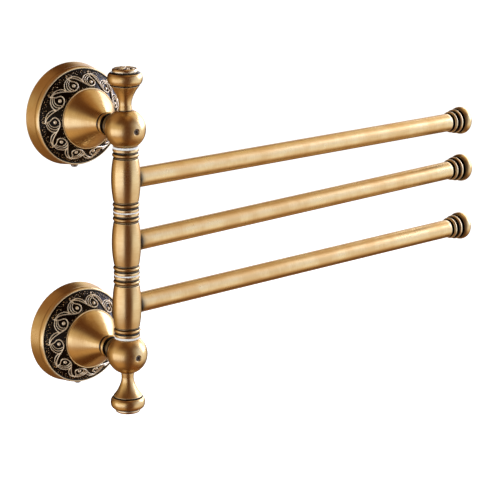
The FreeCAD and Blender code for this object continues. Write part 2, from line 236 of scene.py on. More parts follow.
class Profile:
    """Half-section of a turned piece: rows of radius and height in mm, the outside to the right of its run.

    Each corner carries an edge, the size in mm of the small round that breaks it.
    """

    def __init__(self, *corners: tuple[float, ...]) -> None:
        """Start with a straight run through corners."""
        self.rows: list[Point] = []
        self.edges: list[float] = []
        self.run(*corners)

    @property
    def closed(self) -> bool:
        """Return whether the section is a loop. One that starts on the axis ends there too."""
        return self.rows[0][0] > 0

    def run(self, *corners: tuple[float, ...]) -> "Profile":
        """Run straight through corners.

        Args:
            corners: Radius and height of each, and its edge where that isn't the usual one.

        Returns:
            This profile.
        """
        for radius, height, *edge in corners:
            self.rows.append((radius, height))
            self.edges.append(edge[0] if edge else USUAL_EDGE)
        return self

    def curve(self, points: Array, edge: float) -> "Profile":
        """Run through curve points.

        Args:
            points: Rows of radius and height, of which only the last is a corner.
            edge: Size of the small round that breaks that corner.

        Returns:
            This profile.
        """
        self.rows.extend(map(tuple, points))
        self.edges.extend([0.0] * (len(points) - 1) + [edge])
        return self

    def bow(self, radius: float, height: float, rise: float, edge: float = 0.1, steps: int = 16) -> "Profile":
        """Run along an arc: centre + R (sin a chord + cos a side), a within 2 atan(2 rise / chord) of 0.

        Args:
            radius: Radius of the arc's end.
            height: Height of the arc's end.
            rise: How far the arc stands off its chord, to the right of its run.
            edge: Size of the small round that breaks its end's corner.
            steps: Points along the arc.

        Returns:
            This profile.
        """
        start, end = np.array(self.rows[-1]), np.array([radius, height], float)
        length = float(np.linalg.norm(end - start))
        chord = (end - start) / length
        side = np.array([chord[1], -chord[0]])
        size = (length**2 / 4 + rise**2) / (2 * rise)
        half = 2 * math.atan(2 * rise / length)
        turn = np.linspace(-half, half, steps + 1)[1:, None]
        centre = (start + end) / 2 + side * (rise - size)
        return self.curve(centre + size * (np.sin(turn) * chord + np.cos(turn) * side), edge)

    def sweep(self, handles: list[Point], radius: float, height: float, edge: float) -> "Profile":
        """Run along a Bezier curve with the given handles to a corner."""
        poles = np.array([self.rows[-1], *handles, (radius, height)], float)
        return self.curve(bezier(poles, 28), edge)

    def drawn(self, step: float) -> Array:
        """Round each corner with a quadratic Bezier set back by its edge on both runs, and split long runs.

        Args:
            step: Longest run left unsplit, in mm.

        Returns:
            Rows of radius and height.
        """
        rows = np.array(self.rows, float)
        last_row = len(rows) - 1
        out: list[Array] = []
        for k, (here, edge) in enumerate(zip(rows, self.edges)):
            if edge <= 0 or (not self.closed and k in (0, last_row)):
                out.append(here[None])
                continue
            to_before, to_after = rows[k - 1] - here, rows[(k + 1) % len(rows)] - here
            gap_before, gap_after = (max(float(np.linalg.norm(run)), TINY) for run in (to_before, to_after))
            back = min(edge, 0.45 * gap_before, 0.45 * gap_after)
            first, last = here + to_before / gap_before * back, here + to_after / gap_after * back
            out.append(np.vstack([first[None], bezier(np.array([first, here, last]), 4)]))
        points = np.vstack(out)
        following = np.roll(points, -1, axis=0)
        lengths = np.linalg.norm(following - points, axis=1)
        if not self.closed:
            lengths[-1] = 0.0
        splits = np.maximum(1, np.ceil(lengths / step).astype(int))
        owner = np.repeat(np.arange(len(points)), splits)
        share = (np.arange(splits.sum()) - np.repeat(np.cumsum(splits) - splits, splits)) / splits[owner]
        return points[owner] + (following[owner] - points[owner]) * share[:, None]


def rolled_ball(points: Array, size: float, side: float, closed: bool, reach: float) -> Array:
    """Tell where a ball rolled along a profile can't touch it: size minus its centre's least distance to it.

    Args:
        points: Rows of radius and height.
        size: Radius of the ball in mm.
        side: 1 for a ball outside, which misses hollows, or -1 for one inside, which misses edges.
        closed: Whether the last point joins the first.
        reach: How far the ball misses, in mm, where the result is 1.

    Returns:
        0 where the ball touches, up to 1 where it misses by the reach or more, as a column.
    """
    ahead, behind = np.roll(points, -1, axis=0), np.roll(points, 1, axis=0)
    if not closed:
        ahead[-1], behind[0] = points[-1], points[0]
    run = ahead - behind
    run /= np.maximum(np.linalg.norm(run, axis=1, keepdims=True), TINY)
    centres = points + side * size * np.stack([run[:, 1], -run[:, 0]], axis=1)
    near = np.linalg.norm(centres[:, None, :] - points[None, :, :], axis=2).min(axis=1)
    return np.clip((size - near) / reach, 0.0, 1.0)[:, None]


class Surface:
    """A grid of points that becomes one mesh object, with the attributes that its finish reads."""

    def __init__(self, name: str, rows: Array, closed: bool) -> None:
        """Keep a grid of points.

        Args:
            name: Name of the object.
            rows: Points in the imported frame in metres, shaped profile by turn by 3. The turn always closes.
            closed: Whether the last profile row joins the first. If not, both end rows are poles.
        """
        self.name = name
        self.rows = rows
        self.closed = closed
        self.attributes: dict[str, Array] = {}
        self.section = np.empty((0, 2))

    def paint_shade(self, share: Array) -> "Surface":
        """Paint shade into the finish: darken it by a share for each row of the grid, where it isn't darker
        already.
        """
        self.attributes["hollow"] = np.maximum(self.attributes["hollow"], share.reshape(-1, 1))
        return self

    def faces(self) -> tuple[Array, Array, Array]:
        """Join grid neighbours: quads (i,j) (i,j+1) (i+1,j+1) (i+1,j), and fans to an open grid's two poles.

        Returns:
            The indices of the points kept, the quads, and the triangles, which are none on a closed grid.
        """
        count, turns = self.rows.shape[:2]
        index = np.arange(count * turns).reshape(count, turns)
        if self.closed:
            below, above = index, np.roll(index, -1, axis=0)
            kept = index.ravel()
        else:
            index[1:-1] = np.arange((count - 2) * turns).reshape(count - 2, turns) + 1
            index[0], index[-1] = 0, (count - 2) * turns + 1
            below, above = index[1:-2], index[2:-1]
            kept = np.concatenate([[0], np.arange(turns, (count - 1) * turns), [(count - 1) * turns]])
        quads = np.stack([below, np.roll(below, -1, 1), np.roll(above, -1, 1), above], axis=-1).reshape(-1, 4)
        if self.closed:
            return kept, quads, np.empty((0, 3), int)
        first, last = index[1], index[-2]
        start = stacked(index[0, 0], np.roll(first, -1), first)
        end = stacked(last, np.roll(last, -1), index[-1, 0])
        return kept, quads, np.vstack([start, end])

    def build(self, material: Material) -> bpy.types.Object:
        """Put the grid into a mesh with smooth faces and give it a finish.

        Args:
            material: The finish.

        Returns:
            The new object.
        """
        kept, quads, triangles = self.faces()
        mesh = bpy.data.meshes.new(self.name)
        points = self.rows.reshape(-1, 3)[kept]
        mesh.from_pydata(points.tolist(), [], quads.tolist() + triangles.tolist())
        mesh.polygons.foreach_set("use_smooth", np.ones(len(mesh.polygons), bool))
        for name, values in self.attributes.items():
            vector = values.ndim == 3
            made = mesh.attributes.new(name, "FLOAT_VECTOR" if vector else "FLOAT", "POINT")
            flat = values.reshape(-1, 3)[kept] if vector else values.reshape(-1)[kept]
            made.data.foreach_set("vector" if vector else "value", flat.astype(np.float32).ravel())
        mesh.update()
        return put_in_scene(mesh, material)


def put_in_scene(mesh: bpy.types.Mesh, material: Material) -> bpy.types.Object:
    """Give a mesh its finish and an object of its own name.

    Args:
        mesh: The mesh.
        material: The finish.

    Returns:
        The new object.
    """
    mesh.materials.append(material)
    made = bpy.data.objects.new(mesh.name, mesh)
    bpy.context.scene.collection.objects.link(made)
    return made


def turned(
    name: str,
    profile: Profile,
    axis: Axis,
    turns: int,
    step: float,
    ball: float = 1.3,
    reach: float = 0.6,
) -> Surface:
    """Turn a profile about its axis: (r cos a, r sin a, h) for each profile point (r, h) and angle a.

    Args:
        name: Name of the object.
        profile: The half-section.
        axis: Where the piece's axis lies.
        turns: How many points go round.
        step: Longest run along the profile left unsplit, in mm.
        ball: Radius of the ball that misses the hollows, in mm. A larger one leaves wider dark hollows.
        reach: How deep below the ball a hollow is darkest, in mm.

    Returns:
        The surface, with its section of radius and height by row, how deep each point lies in a hollow, how
        exposed it is, and the run of the lathe's marks.
    """
    edge_ball, edge_reach = 0.5, 0.25
    points = profile.drawn(step)
    hollow = rolled_ball(points, ball, 1, profile.closed, reach)
    edge = rolled_ball(points, edge_ball, -1, profile.closed, edge_reach)
    angle = spaced_angles(turns)
    surface = Surface(name, axis.place(around(points[:, :1], angle, points[:, 1:])), profile.closed)
    shape = (len(points), turns)
    surface.attributes["hollow"] = np.broadcast_to(hollow, shape)
    surface.attributes["edge"] = np.broadcast_to(edge, shape)
    run = np.linalg.norm(np.diff(points, axis=0, prepend=points[:1]), axis=1).cumsum()[:, None]
    surface.attributes["marks"] = stacked(run, np.cos(angle), np.sin(angle))
    surface.section = points
    return surface


def linear(code: str) -> tuple[float, float, float, float]:
    """Turn sRGB hex into linear light: c / 12.92 below 0.04045, else ((c + 0.055) / 1.055) to the power 2.4.

    Args:
        code: Six hex digits after a #.

    Returns:
        Red, green, blue and an alpha of 1.
    """
    parts = [int(code[k : k + 2], 16) / 255 for k in (1, 3, 5)]
    red, green, blue = (c / 12.92 if c <= 0.04045 else ((c + 0.055) / 1.055) ** 2.4 for c in parts)
    return (red, green, blue, 1.0)


def add_node(tree: Tree, kind: str, inputs: dict | None = None, **settings: object) -> bpy.types.Node:
    """Add a node with its settings, and fill its inputs with values or links.

    Args:
        tree: The node tree.
        kind: Blender's name of the node type, after its ShaderNode.
        inputs: Socket name or number, to a value, or to the socket or the node that feeds it, a node by its
            first output in use.
        settings: The node's own properties.

    Returns:
        The node.
    """
    node = tree.nodes.new(f"ShaderNode{kind}")
    for name, value in settings.items():
        setattr(node, name, value)
    for name, value in (inputs or {}).items():
        if isinstance(value, bpy.types.Node):
            value = next(output for output in value.outputs if output.enabled)
        if isinstance(value, bpy.types.NodeSocket):
            tree.links.new(value, node.inputs[name])
        else:
            node.inputs[name].default_value = value
    return node


def new_material(name: str) -> tuple[Material, Tree]:
    """Make a material with an empty node tree.

    Args:
        name: Name of the material.

    Returns:
        The material and its tree.
    """
    material = bpy.data.materials.new(name)
    material.use_nodes = True
    material.node_tree.nodes.clear()
    return material, material.node_tree


@dataclass(frozen=True)
class Finish:
    """A finish, which fills the sockets of one Principled shader."""

    name: str

    def sockets(self, tree: Tree) -> dict[str, object]:
        """Return what each socket of the shader holds, having added the nodes that feed it."""
        raise NotImplementedError

    def material(self) -> Material:
        """Return the finish as a Blender material."""
        material, tree = new_material(self.name)
        shader = add_node(tree, "BsdfPrincipled", self.sockets(tree))
        add_node(tree, "OutputMaterial", {"Surface": shader})
        return material


@dataclass(frozen=True)
class AntiqueBrass(Finish):
    """Cast and turned brass, darkened in a bath, relieved with a fine brush and lacquered.

    The relief leaves pale gold on edges and near black in hollows, the brush leaves fine rings, and the thin
    lacquer lays a paler gloss over the soft sheen of the metal.
    """

    name: str = "antique_brushed_brass"
    worn: str = "#FAE9C3"
    body: str = "#EBD29C"
    cloud: str = "#DDBB80"
    dark: str = "#120A07"
    rim: str = "#84603A"
    roughness: float = 0.30
    dark_roughness: float = 0.62
    hollow_reach: float = 1.0
    darkening_start: float = 0.06
    edge_share: float = 0.75
    coat: float = 0.5
    coat_roughness: float = 0.22
    coat_index: float = 1.6
    # Rubbed edges are finely scratched: they scatter a part of the light instead of mirroring it.
    matt_edge: float = 0.3
    # The brush's rings are about 0.1 mm apart on the real metal, and are drawn at 0.45 mm so that they show.
    ring_mm: float = 0.45
    ring_depth_mm: float = 0.02
    cloud_mm: float = 14.0

    def sockets(self, tree: Tree) -> dict[str, object]:
        """Tone the metal with rings and clouds, bare its edges, and darken its hollows with patina and, where
        the pieces lay it in, with painted shade.

        Args:
            tree: The material's node tree.

        Returns:
            What each socket of the shader holds.
        """
        add = partial(add_node, tree)
        place = add("TexCoord").outputs["Object"]
        hollow = add("Attribute", attribute_name="hollow").outputs["Fac"]
        edge = add("Attribute", attribute_name="edge").outputs["Fac"]
        marks = add("Attribute", attribute_name="marks").outputs["Vector"]
        stretched = add("VectorMath", {0: marks, 1: (1 / self.ring_mm, 1.3, 1.3)}, operation="MULTIPLY")
        rings = add("TexNoise", {"Vector": stretched, "Scale": 1.0, "Detail": 3.0})
        clouds = add("TexNoise", {"Vector": place, "Scale": 1 / (self.cloud_mm * MM), "Detail": 4.0})
        cloudy = add("MapRange", {"Value": clouds, "From Min": 0.40, "From Max": 0.66})
        ringed = add("MapRange", {"Value": rings, "From Min": 0.38, "From Max": 0.62, "To Max": 0.3})
        tone = add("Math", {0: cloudy, 1: ringed}, operation="ADD", use_clamp=True)
        metal = add("Mix", {"Factor": tone, 6: linear(self.body), 7: linear(self.cloud)}, data_type="RGBA")
        bared = add("Math", {0: edge, 1: self.edge_share}, operation="MULTIPLY", use_clamp=True)
        metal = add("Mix", {"Factor": bared, 6: metal, 7: linear(self.worn)}, data_type="RGBA")
        patchy = {"Value": clouds, "From Min": 0.3, "From Max": 0.7, "To Min": 0.75, "To Max": 1.3}
        # The hollow attribute holds the patina of real hollows and the painted shade laid in at joins; both
        # darken the metal here.
        depth = add("Math", {0: hollow, 1: add("MapRange", patchy)}, operation="MULTIPLY")
        full = self.darkening_start + 0.5 / self.hollow_reach
        deep = {"Value": depth, "From Min": self.darkening_start, "From Max": full}
        patina_and_shade = add("MapRange", deep, interpolation_type="SMOOTHSTEP")
        shine = {"Value": tone, "To Min": self.roughness - 0.03, "To Max": self.roughness + 0.07}
        rough = {"Factor": patina_and_shade, 2: add("MapRange", shine), 3: self.dark_roughness}
        clean = add("MapRange", {"Value": patina_and_shade, "To Min": 1.0, "To Max": 0.9})
        return {
            "Base Color": add("Mix", {"Factor": patina_and_shade, 6: metal, 7: linear(self.dark)}, data_type="RGBA"),
            "Metallic": add("Math", {0: bared, 1: -self.matt_edge, 2: clean}, operation="MULTIPLY_ADD"),
            "Roughness": add("Mix", rough, data_type="FLOAT"),
            "Normal": add("Bump", {"Height": rings, "Strength": 0.1, "Distance": self.ring_depth_mm * MM}),
            "Specular Tint": linear(self.rim),
            "Coat Weight": self.coat,
            "Coat Roughness": self.coat_roughness,
            "Coat IOR": self.coat_index,
        }


@dataclass(frozen=True)
class Steel(Finish):
    """Steel as rolled or turned, zinc plated or oiled: a soft grey sheen with faint cloudy marks."""

    light: str
    shade: str
    roughness: float
    mark_mm: float = 1.6

    def sockets(self, tree: Tree) -> dict[str, object]:
        """Cloud the metal's colour, roughness and face with one set of marks.

        Args:
            tree: The material's node tree.

        Returns:
            What each socket of the shader holds.
        """
        add = partial(add_node, tree)
        place = add("TexCoord").outputs["Object"]
        marks = add("TexNoise", {"Vector": place, "Scale": 1 / (self.mark_mm * MM), "Detail": 5.0})
        spread = add("MapRange", {"Value": marks, "From Min": 0.35, "From Max": 0.65})
        colours = {"Factor": spread, 6: linear(self.light), 7: linear(self.shade)}
        rough = {"Value": spread, "To Min": self.roughness - 0.06, "To Max": self.roughness + 0.08}
        return {
            "Base Color": add("Mix", colours, data_type="RGBA"),
            "Metallic": 1.0,
            "Roughness": add("MapRange", rough),
            "Normal": add("Bump", {"Height": marks, "Strength": 0.15, "Distance": 0.02 * MM}),
        }


@dataclass(frozen=True)
class Nylon(Finish):
    """White nylon, turned from bar: milky, slightly soft in its gloss, with the tool's fine rings."""

    name: str = "turned_white_nylon"
    pale: str = "#FEFEFD"
    shade: str = "#F6F5F2"
    ring_mm: float = 0.3
    roughness: float = 0.42
    index: float = 1.53
    milky: float = 0.25
    light_reach_mm: Triple = (0.8, 0.7, 0.6)

    def sockets(self, tree: Tree) -> dict[str, object]:
        """Ring the colour and face with the tool's marks.

        Args:
            tree: The material's node tree.

        Returns:
            What each socket of the shader holds.
        """
        add = partial(add_node, tree)
        marks = add("Attribute", attribute_name="marks").outputs["Vector"]
        stretched = add("VectorMath", {0: marks, 1: (1 / self.ring_mm, 0.8, 0.8)}, operation="MULTIPLY")
        rings = add("TexNoise", {"Vector": stretched, "Scale": 1.0, "Detail": 2.0})
        colours = {"Factor": rings, 6: linear(self.pale), 7: linear(self.shade)}
        return {
            "Base Color": add("Mix", colours, data_type="RGBA"),
            "Roughness": self.roughness,
            "IOR": self.index,
            "Subsurface Weight": self.milky,
            "Subsurface Radius": [reach * MM for reach in self.light_reach_mm],
            "Subsurface Scale": 1.0,
            "Normal": add("Bump", {"Height": rings, "Strength": 0.2, "Distance": 0.03 * MM}),
        }


class Finishes:
    """Every finish of the bar, made once: one for each slot, and one for the carved and embossed brass."""

    def __init__(self) -> None:
        """Make the materials."""
        self.by_slot = {
            Slot.BRASS: AntiqueBrass().material(),
            Slot.PLATE: Steel("zinc_plated_steel", "#B9BBBD", "#9A9C9F", 0.38).material(),
            Slot.SCREW: Steel("oiled_dark_steel", "#A09A94", "#7C7671", 0.45, 0.7).material(),
            Slot.NYLON: Nylon().material(),
        }
        self.carved = AntiqueBrass(
            "antique_carved_brass",
            worn="#FFF5DE",
            body="#F6E4BE",
            cloud="#E6CA98",
            dark="#0C0605",
            roughness=0.26,
            hollow_reach=1.6,
            coat=0.45,
            matt_edge=0.42,
        ).material()

    def settle(
        self,
        surface: Surface,
        body: str = WALL_FRAME,
        slot: Slot = Slot.BRASS,
        carved: bool = False,
        stands: bool = True,
    ) -> None:
        """Build a piece and hand it to the frame.

        Args:
            surface: The piece's shape, named dressed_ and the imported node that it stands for.
            body: The body that it moves with.
            slot: The record's slot of its finish.
            carved: Whether it has the carved brass's finish in place of its slot's.
            stands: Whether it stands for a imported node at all.
        """
        piece = surface.build(self.carved if carved else self.by_slot[slot])
        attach(piece, body)
        if stands:
            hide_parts(piece.name.removeprefix("dressed_"))
        LOG.info("%s: %d faces on %s", piece.name, len(piece.data.polygons), body)


@dataclass
class ScrollBorder:
    """A rosette's carved border: scrolls with a ball eye, nested ribs and a rising leaf, over beaded ground.

    Lengths are mm on the sloping face. A unit's own x runs round the rosette from its eye, and its y runs
    outwards from the eye.
    """

    inner_radius: float = 17.8
    outer_radius: float = 27.25
    inner_height: float = 19.3
    outer_height: float = 11.417
    units: int = 11
    unit_width: float = 12.5
    eye_height: float = 4.0
    eye_radius: float = 1.15
    ground: float = -0.4
    backing: float = 0.3
    rows: int = 88
    turns: int = 960
    cell: float = 0.07
    first_eye: float = 181.5
    # The scrolls in the photograph's view are a little wider apart than a full ring of equal ones.
    stretch: float = 0.07
    stretch_from: float = 182.0
    seed: int = 7

    @property
    def slope(self) -> float:
        """Return the length of the sloping face."""
        return math.hypot(self.outer_radius - self.inner_radius, self.outer_height - self.inner_height)

    def strokes(self) -> list[tuple[list[Point], float, float, float]]:
        """Return the raised lines of a unit: points, half width at the start and end, and height."""
        stem = [(-2.2, 1.3), (-2.7, 0.1), (-2.2, -1.4), (-0.7, -2.5), (1.2, -2.8), (3.1, -2.3), (5.0, -0.9)]
        tip = [(6.8, 0.9), (8.6, 2.8), (10.4, 4.4), (12.4, 5.4)]
        return [
            (stem + tip, 0.46, 0.42, 0.9),
            ([(5.7, 0.0), (6.1, 1.7), (7.1, 3.3), (8.8, 4.7), (10.6, 5.4), (12.5, 5.5)], 0.4, 0.34, 0.85),
            ([(0.6, 5.3), (3.0, 4.4), (4.8, 2.6), (5.6, 0.5), (5.1, -0.9)], 0.32, 0.4, 0.8),
            ([(0.5, 4.5), (2.5, 3.4), (3.8, 1.6), (4.1, -0.2), (3.5, -1.8)], 0.28, 0.34, 0.75),
            ([(0.3, 3.6), (1.7, 2.6), (2.6, 1.1), (2.7, -0.6), (2.0, -2.1)], 0.26, 0.32, 0.7),
            ([(0.2, 5.8), (0.0, 4.4), (-0.5, 3.0), (-1.4, 2.1), (-2.3, 1.2)], 0.32, 0.4, 0.8),
            ([(0.4, 5.2), (0.5, 6.4)], 0.4, 0.12, 0.7),
            ([(-0.3, 5.3), (-0.9, 6.1)], 0.34, 0.1, 0.55),
        ]

    def unit_relief(self) -> Array:
        """Work out one unit's relief on a fine grid.

        A raised line is height times the root of 1 minus (distance over half width) squared, the eye and the
        ground's beads at seeded random places are ball caps, and the highest of all is kept.

        Returns:
            Heights over the ground, rows outwards by columns round.
        """
        across = np.arange(0, self.unit_width, self.cell)
        outwards = np.arange(0, self.slope + self.cell, self.cell) - self.eye_height
        x, y = np.meshgrid(across, outwards)
        relief = self.round_caps(x, y)
        for points, start_width, end_width, height in self.strokes():
            line = flowing(points)
            widths = np.linspace(start_width, end_width, len(line) - 1)
            start, run = line[:-1], np.diff(line, axis=0)
            away_y = y[..., None] - start[:, 1]
            for shift in (-self.unit_width, 0.0, self.unit_width):
                away_x = x[..., None] - shift - start[:, 0]
                share = np.clip((away_x * run[:, 0] + away_y * run[:, 1]) / (run**2).sum(1), 0, 1)
                distance = np.hypot(away_x - share * run[:, 0], away_y - share * run[:, 1]) / widths
                relief = np.maximum(relief, height * dome(distance.min(-1)))
        return relief

    def round_caps(self, x: Array, y: Array) -> Array:
        """Work out the eye and the beads of the ground: the highest of their ball caps at each point.

        Args:
            x: The unit's grid round the rosette.
            y: The unit's grid outwards.

        Returns:
            Heights over the ground in mm.
        """
        random = np.random.default_rng(self.seed)
        beads = [(0.0, 0.0, self.eye_radius, 1.0)]
        for low, high, count in ((5.6, 8.0, 54), (-3.7, -2.6, 12)):
            places = random.uniform((0, low, 0.2, 0.14), (self.unit_width, high, 0.38, 0.42), (count, 4))
            beads.extend(map(tuple, places))
        caps = np.zeros_like(x)
        for bead_x, bead_y, size, height in beads:
            for shift in (-self.unit_width, 0.0, self.unit_width):
                caps = np.maximum(caps, height * dome(np.hypot(x - shift - bead_x, y - bead_y) / size))
        return caps

    def heights(self, outwards: Array, angle: Array) -> Array:
        """Read the unit's relief round the ring, each point from its four nearest cells.

        Args:
            outwards: Distance from the inner edge in mm.
            angle: Angle round the rosette in radians.

        Returns:
            Heights over the ground in mm.
        """
        relief = self.unit_relief()
        even = angle - self.stretch * np.sin(angle - math.radians(self.stretch_from))
        column = ((even - math.radians(self.first_eye)) * self.units / FULL_TURN % 1.0) * relief.shape[1]
        row = np.clip(outwards / self.cell, 0, relief.shape[0] - 1.001)
        low_row, low_column = np.floor(row).astype(int), np.floor(column).astype(int)
        part_row, part_column = row - low_row, column - low_column
        low_column %= relief.shape[1]
        high_column = (low_column + 1) % relief.shape[1]
        near, far = (
            relief[at, low_column] * (1 - part_column) + relief[at, high_column] * part_column
            for at in (low_row, low_row + 1)
        )
        return near * (1 - part_row) + far * part_row

    def surface(self, name: str, axis: Axis) -> Surface:
        """Lay the relief on the sloping face as a closed ring: point = face point + (ground + relief) normal.

        Args:
            name: Name of the object.
            axis: The rosette's axis.

        Returns:
            The carved ring.
        """
        share = np.concatenate([np.linspace(1, 0, self.rows), np.linspace(0.02, 0.98, 4)])[:, None]
        top = np.arange(len(share))[:, None] < self.rows
        outwards, angle = np.meshgrid(share * self.slope, spaced_angles(self.turns), indexing="ij")
        edge = np.minimum(share, 1 - share) * self.slope
        raised = np.where(top, self.heights(outwards, angle) * smooth_step(edge, 0.05, 0.5), 0.0)
        lift = np.where(top, self.ground + raised, self.ground - self.backing)
        run_out = (self.outer_radius - self.inner_radius) / self.slope
        run_up = (self.outer_height - self.inner_height) / self.slope
        radius = self.inner_radius + outwards * run_out - lift * run_up
        local = around(radius, angle, self.inner_height + outwards * run_up + lift * run_out)
        ring = Surface(name, axis.place(local), True)
        ring.attributes["hollow"] = np.where(top, 1.0 - smooth_step(raised, 0.06, 0.32), 1.0)
        ring.attributes["edge"] = smooth_step(raised, 0.25, 0.6)
        ring.attributes["marks"] = local * 0.1
        return ring


@dataclass
class WallPost:
    """One wall post: rosette, bell, ball, grub screw, finial and embossed cap.

    Sizes are in mm. The rosette's and bell's heights are from the wall, the finial's from its foot, and the
    cap's from the finial's top.
    """

    side: Side
    rosette_radius: float = 30.2
    side_height: float = 7.6
    side_top_radius: float = 28.95
    lip_height: float = 11.0
    lip_radius: float = 28.2
    groove_radius: float = 27.75
    face_height: float = 19.3
    screw_bore: float = 2.6
    bell_radius: float = 17.8
    neck_radius: float = 5.3
    neck_height: float = 38.3
    ball_radius: float = 11.65
    washer_flat: float = 9.7608
    post_flat: float = 10.3231
    finial_flat: float = 10.6151
    sink_radius: float = 2.0
    grub_bore: float = 1.6
    grub_floor: float = 9.0
    grub_end: float = 11.0
    socket_half_width: float = 0.93
    finial_bore: float = 2.05
    bulb_radius: float = 10.0
    finial_length: float = 21.9
    cap_height: float = 3.0
    leaves: int = 8
    swirl: float = 0.16
    carving_depth: float = 0.75
    border: ScrollBorder = field(default_factory=ScrollBorder)

    @property
    def height(self) -> float:
        """Return the height of the post's axis."""
        return self.side.value * BALL_HEIGHT

    def rosette(self) -> Surface:
        """Return the hollow cup, whose sloping face lies just under the carved ring."""
        lip, groove, face, bore = self.lip_height, self.groove_radius, self.face_height, self.screw_bore
        cup = Profile((27.6, 0), (self.rosette_radius, 0, 0.3), (self.side_top_radius, self.side_height, 0.8))
        cup.bow(self.lip_radius, lip, 0.3, 0.25).run((groove, lip), (groove, 10.5, 0.1), (27.1, 10.5, 0.1))
        cup.run((17.6, 18.4, 0.1), (17.6, face, 0.05), (bore, face), (bore, 17.3), (17.075, 17.3, 0.4))
        cup.run((27.6, 8.521, 0.4))
        return turned(self.side.dressed("rosette"), cup, Axis.off_wall(self.height), 224, 0.6)

    def bell(self) -> Surface:
        """Return the bell with its lip, bead and ring, with painted shade at the lip's foot and beside the
        ball.
        """
        bore, lip, neck = self.screw_bore, self.bell_radius, self.neck_radius
        foot, end = self.face_height, PIN_STANDOFF - self.post_flat
        post = Profile((bore, 25.3), (3.6, 25.3), (12.0, foot), (lip, foot, 0.1))
        post.run((lip, 20.2, 0.35), (17.1, 20.2))
        post.sweep([(15.92, 24.182), (7.424, 31.422)], neck, self.neck_height, 0.1).bow(neck, 41.5, 1.55)
        post.run((neck, 43.4, 0.1)).bow(neck, 46.0, 1.4).run((neck, end, 0.1), (bore, end))
        bell = turned(self.side.dressed("bell_post"), post, Axis.off_wall(self.height), 192, 0.4, 2.2)
        radius, height = bell.section.T
        bell.attributes["hollow"] = bell.attributes["hollow"] * (radius < 16)[:, None]
        # Painted shade: the lip's foot where it meets the rosette, and the ring beside the ball, are
        # darkened.
        shade_under_lip = 0.8 * (radius > 17.5) * (height < 19.9)
        shade_by_ball = 0.36 * smooth_step(height, 42.9, 44.2)
        return bell.paint_shade(np.maximum(shade_under_lip, shade_by_ball))

    def ball(self) -> Surface:
        """Return the ball: turned about the line to the room, then cut level where washer and finial sit."""
        start = math.sqrt(self.ball_radius**2 - self.post_flat**2)
        sink = math.sqrt(self.ball_radius**2 - self.sink_radius**2)
        sweep = np.linspace(math.atan2(-self.post_flat, start), math.atan2(sink, self.sink_radius), 120)
        points = self.ball_radius * stacked(np.cos(sweep), np.sin(sweep))
        body = Profile((0, -self.post_flat, 0), (start, -self.post_flat, 0.15)).curve(points[1:], 0.12)
        bore, floor = self.grub_bore, self.grub_floor
        body.run((bore, sink - 0.4, 0.1), (bore, floor, 0.1), (0, floor, 0))
        axis = Axis.off_wall(self.height, PIN_STANDOFF)
        ball = turned(self.side.dressed("ball"), body, axis, 176, 0.4)
        up, down = self.finial_flat, self.washer_flat
        if self.side is Side.LOWER:
            up, down = down, up
        centre, heights = self.height * MM, ball.rows[..., 2]
        np.clip(heights, centre - down * MM, centre + up * MM, out=heights)
        return ball

    def grub_screw(self) -> Surface:
        """Return the ball's grub screw, its hexagon socket at flat / cos(angle from the flat's middle)."""
        angle = spaced_angles(72)
        six = self.socket_half_width / np.cos((angle + math.pi / 6) % (math.pi / 3) - math.pi / 6)
        shank = ((0.0, -7.9), (1.2, -7.9), (1.5, -7.6), (1.5, -0.32), (1.42, -0.1), (1.25, 0.0))
        socket = ((1.06, 0.0), (1.0, -0.05), (0.99, -1.15), (0.9, -1.2), (0.0, -1.3))
        rows = [around(radius, angle, self.grub_end + rise) for radius, rise in shank]
        rows += [around(size * six, angle, self.grub_end + rise) for size, rise in socket]
        placed = Axis.off_wall(self.height, PIN_STANDOFF).place(np.array(rows))
        return Surface(self.side.dressed("ball_grub_screw"), placed, False)

    def finial(self) -> Surface:
        """Return the flared stem and bulb, with painted shade at its foot and under the cap."""
        bore, bulb, top = self.finial_bore, self.bulb_radius, self.finial_length
        stem = Profile((0, 11.05, 0), (bore, 11.05), (bore, 0), (3.9, 0, 0.2), (3.55, 3.2, 0.5))
        stem.sweep([(3.55, 6.896), (5.893, 11.395)], 8.3, 14.2, 0.15)
        stem.run((8.3, 14.7, 0.15), (7.8, 14.7, 0.1), (7.8, 15.1, 0.1), (8.7, 15.1, 0.15))
        stem.sweep([(bulb, 16.12)], bulb, 18.364, 0).sweep([(bulb, 21.22)], 7.9, top, 0.2)
        stem.run((bore, top), (bore, 17.85), (0, 17.85, 0))
        finial = turned(self.side.dressed("finial"), stem, self.finial_axis(0), 144, 0.3, 2.2)
        radius, height = finial.section.T
        # Painted shade: a contact shadow where the foot meets the ball, and another on the bulb's top under
        # the cap.
        shade_at_foot = 0.6 * np.exp(-np.maximum(height, 0.0) / 0.5)
        shade_under_cap = 0.9 * (smooth_step(height, 21.1, 21.7) * smooth_step(radius, 4.0, 5.0))
        return finial.paint_shade(np.maximum(shade_at_foot, shade_under_cap))

